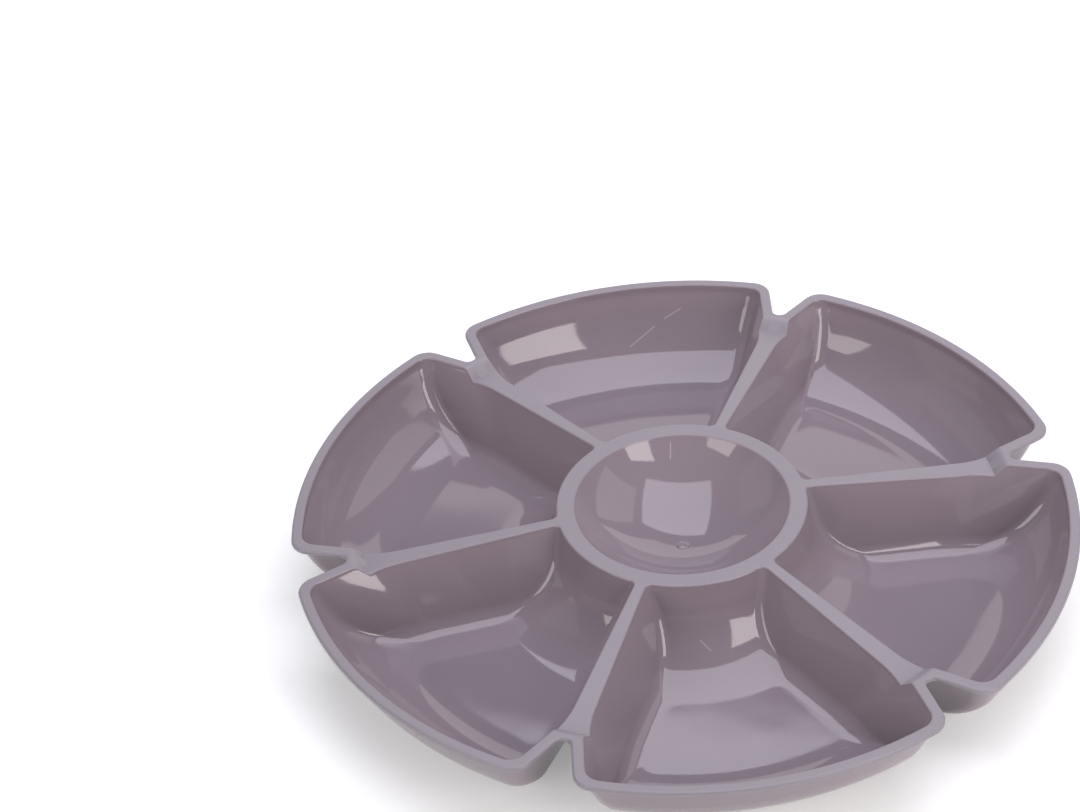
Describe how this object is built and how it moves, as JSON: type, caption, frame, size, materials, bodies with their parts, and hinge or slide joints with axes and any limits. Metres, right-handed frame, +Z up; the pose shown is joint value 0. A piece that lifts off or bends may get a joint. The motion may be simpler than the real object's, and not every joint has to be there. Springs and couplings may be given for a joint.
{
  "type": "sectional serving dish",
  "caption": "Round moulded plastic serving dish with petal-shaped compartments, notched between the petals, around a shallow centre bowl.",
  "frame": {"origin": "centre of the dish at the bottom, on the surface it stands on", "axes": "+Z up along the dish axis; -Y towards the first compartment"},
  "size_m": [0.2984, 0.3, 0.036],
  "materials": {
    "walls": "polished mauve-grey polypropylene",
    "deck": "satin mauve-grey polypropylene"
  },
  "bodies": {
    "root": {"centre_bowl": "walls", "centre_ring": "deck", "divider_1": "deck", "divider_2": "deck", "divider_3": "deck", "divider_4": "deck", "divider_5": "deck", "divider_6": "deck", "compartment_1": "walls", "compartment_2": "walls", "compartment_3": "walls", "compartment_4": "walls", "compartment_5": "walls", "compartment_6": "walls", "rim_1": "deck", "rim_2": "deck", "rim_3": "deck", "rim_4": "deck", "rim_5": "deck", "rim_6": "deck"}
  },
  "joints": []
}
